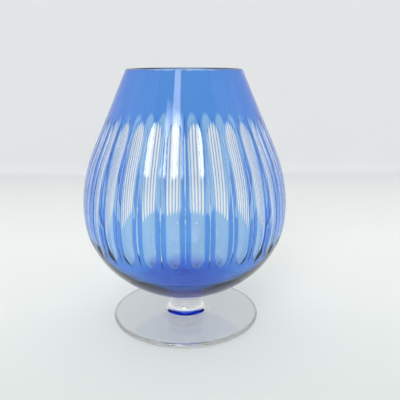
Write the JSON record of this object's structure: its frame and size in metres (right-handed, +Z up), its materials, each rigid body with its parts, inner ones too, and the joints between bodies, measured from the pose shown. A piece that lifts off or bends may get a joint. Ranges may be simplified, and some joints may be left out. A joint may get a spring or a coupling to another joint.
{
  "type": "footed vase",
  "caption": "Footed balloon vase of clear crystal with a cobalt casing, upright flutes cut through the colour and a clear stem and foot.",
  "frame": {"origin": "centre of the foot's flat underside, on the surface that the vase stands on", "axes": "+Z up along the axis of the bowl, stem and foot; a mitre line, not a flute, faces -Y"},
  "size_m": [0.1588, 0.159, 0.2],
  "materials": {
    "clear_crystal": "fire-polished lead crystal with polished cuts",
    "cobalt_casing": "thin polished layer of transparent cobalt blue glass",
    "stem_crystal": "fire-polished clear crystal",
    "foot_crystal": "fire-polished clear crystal with a rounded edge"
  },
  "bodies": {
    "root": {"crystal_bowl": "clear_crystal", "blue_casing": "cobalt_casing", "stem": "stem_crystal", "foot": "foot_crystal"}
  },
  "joints": []
}
